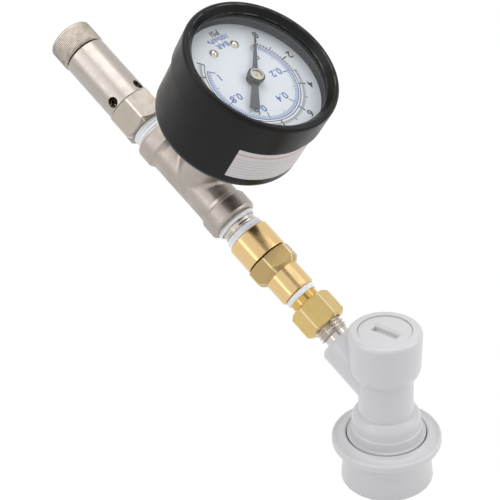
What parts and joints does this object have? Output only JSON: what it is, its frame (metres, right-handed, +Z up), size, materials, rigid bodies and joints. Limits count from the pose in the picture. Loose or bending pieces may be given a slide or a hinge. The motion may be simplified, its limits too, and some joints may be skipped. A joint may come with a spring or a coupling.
{
  "type": "spunding valve",
  "caption": "Adjustable relief valve with a dial gauge and a check valve on a ball-lock gas disconnect, for holding and reading a keg's pressure.",
  "frame": {"origin": "centre of the post socket's bore where its straight wall begins, at the disconnect's mouth", "axes": "+Z up the socket's axis away from the keg, the chain of fittings leans towards -X in the XZ plane, the dial faces +X and +Z"},
  "size_m": [0.1651, 0.0546, 0.1589],
  "materials": {
    "grey_plastic": "satin moulded",
    "plug_plastic": "satin moulded",
    "stainless": "turned and polished",
    "cast_stainless": "cast, tumbled",
    "nickel": "nickel plated",
    "spring_steel": "bright wire",
    "brass": "satin turned",
    "movement_brass": "rolled",
    "bronze": "drawn",
    "ptfe": "matte tape",
    "nylon": "moulded",
    "rubber_black": "moulded",
    "black_enamel": "satin black",
    "dial_white": "matte white",
    "lens_clear": "clear",
    "pointer_grey": "matte",
    "hub_black": "gloss"
  },
  "bodies": {
    "frame": {"disconnect_body": "grey_plastic", "collar_stop_ring": "grey_plastic", "collar_spring": "spring_steel", "poppet_spring": "spring_steel", "top_plug": "plug_plastic", "plug_oring": "rubber_black", "flare_stem": "stainless", "flare_washer": "nylon", "flare_adapter": "brass", "adapter_tape": "ptfe", "check_valve_cap": "brass", "check_valve_body": "brass", "check_spring": "spring_steel", "check_retainer": "brass", "pipe_nipple": "stainless", "nipple_tape_valve": "ptfe", "nipple_tape_tee": "ptfe", "tee_body": "cast_stainless", "relief_base": "nickel", "relief_tape": "ptfe", "relief_barrel": "nickel", "relief_spring": "spring_steel", "gauge_socket": "brass", "gauge_tape": "ptfe", "gauge_case": "black_enamel", "case_screws": "nickel", "gauge_bezel": "black_enamel", "gauge_lens": "lens_clear", "lens_gasket": "rubber_black", "gauge_dial": "dial_white", "dial_posts": "movement_brass", "dial_screws": "nickel", "stop_pin": "nickel", "bourdon_tube": "bronze", "bourdon_tip": "movement_brass", "back_plate": "movement_brass", "front_plate": "movement_brass", "movement_pillars": "movement_brass", "plate_screws": "spring_steel", "hairspring": "bronze"},
    "collar": {"release_collar": "grey_plastic"},
    "ball_1": {"locking_ball_1": "stainless"},
    "ball_2": {"locking_ball_2": "stainless"},
    "ball_3": {"locking_ball_3": "stainless"},
    "inlet_poppet": {"disconnect_poppet": "plug_plastic", "poppet_seal": "rubber_black"},
    "nut": {"swivel_nut": "brass"},
    "check_valve": {"check_poppet": "brass", "check_oring": "rubber_black"},
    "relief_valve": {"relief_poppet": "brass", "relief_seat_disc": "rubber_black"},
    "spring_seat": {"relief_spring_seat": "brass"},
    "adjuster": {"relief_cap": "nickel"},
    "sector": {"sector_gear": "movement_brass"},
    "link": {"drive_link": "movement_brass"},
    "pointer": {"pinion": "movement_brass", "pointer": "pointer_grey", "pointer_hub": "hub_black", "hub_cap": "nickel"}
  },
  "joints": [
    {"name": "collar_lift", "type": "slide", "parent": "frame", "child": "collar", "axis": [0, 0, 1], "range_m": [0, 0.004], "stiffness_N_per_m": 1200, "springref_m": -0.006, "deforming": ["collar_spring"]},
    {"name": "ball_1_slide", "type": "slide", "parent": "frame", "child": "ball_1", "axis": [0.866, 0.5, 0], "range_m": [0, 0.00095]},
    {"name": "ball_2_slide", "type": "slide", "parent": "frame", "child": "ball_2", "axis": [-0.866, 0.5, 0], "range_m": [0, 0.00095]},
    {"name": "ball_3_slide", "type": "slide", "parent": "frame", "child": "ball_3", "axis": [0, -1, 0], "range_m": [0, 0.00095]},
    {"name": "inlet_lift", "type": "slide", "parent": "frame", "child": "inlet_poppet", "axis": [0, 0, 1], "range_m": [0, 0.003], "stiffness_N_per_m": 600, "springref_m": -0.004, "deforming": ["poppet_spring"]},
    {"name": "nut_spin", "type": "hinge", "parent": "frame", "child": "nut", "pos_m": [-0.02859, 0, 0.05462], "axis": [-0.8192, 0, 0.5736], "continuous": true},
    {"name": "check_lift", "type": "slide", "parent": "frame", "child": "check_valve", "axis": [-0.8192, 0, 0.5736], "range_m": [0, 0.0018], "stiffness_N_per_m": 200, "springref_m": -0.003, "deforming": ["check_spring"]},
    {"name": "relief_lift", "type": "slide", "parent": "frame", "child": "relief_valve", "axis": [-0.8192, 0, 0.5736], "range_m": [0, 0.002], "stiffness_N_per_m": 2500, "springref_m": -0.002, "deforming": ["relief_spring"]},
    {"name": "seat_travel", "type": "slide", "parent": "frame", "child": "spring_seat", "axis": [-0.8192, 0, 0.5736], "range_m": [0, 0.002]},
    {"name": "cap_turn", "type": "hinge", "parent": "spring_seat", "child": "adjuster", "pos_m": [-0.13426, 0, 0.12861], "axis": [-0.8192, 0, 0.5736], "range_deg": [0, 720]},
    {"name": "sector_turn", "type": "hinge", "parent": "frame", "child": "sector", "pos_m": [-0.07015, 0, 0.13316], "axis": [0.5736, 0, 0.8192], "range_deg": [0, 33.75], "stiffness_Nm_per_rad": 0.02, "deforming": ["bourdon_tube", "bourdon_tip"]},
    {"name": "pointer_turn", "type": "hinge", "parent": "frame", "child": "pointer", "pos_m": [-0.05078, 0, 0.1373], "axis": [-0.5736, 0, -0.8192], "range_deg": [0, 270], "deforming": ["hairspring"]},
    {"name": "link_turn", "type": "hinge", "parent": "sector", "child": "link", "pos_m": [-0.0662, 0.00435, 0.13039], "axis": [0.5736, 0, 0.8192], "range_deg": [-33.75, 0]}
  ],
  "couplings": [
    {"joint": "ball_1_slide", "follows": "collar_lift", "ratio": 0.2375},
    {"joint": "ball_2_slide", "follows": "collar_lift", "ratio": 0.2375},
    {"joint": "ball_3_slide", "follows": "collar_lift", "ratio": 0.2375},
    {"joint": "cap_turn", "follows": "seat_travel", "rad_per_m": 6283.2},
    {"joint": "pointer_turn", "follows": "sector_turn", "ratio": 8},
    {"joint": "link_turn", "follows": "sector_turn", "ratio": -1}
  ]
}
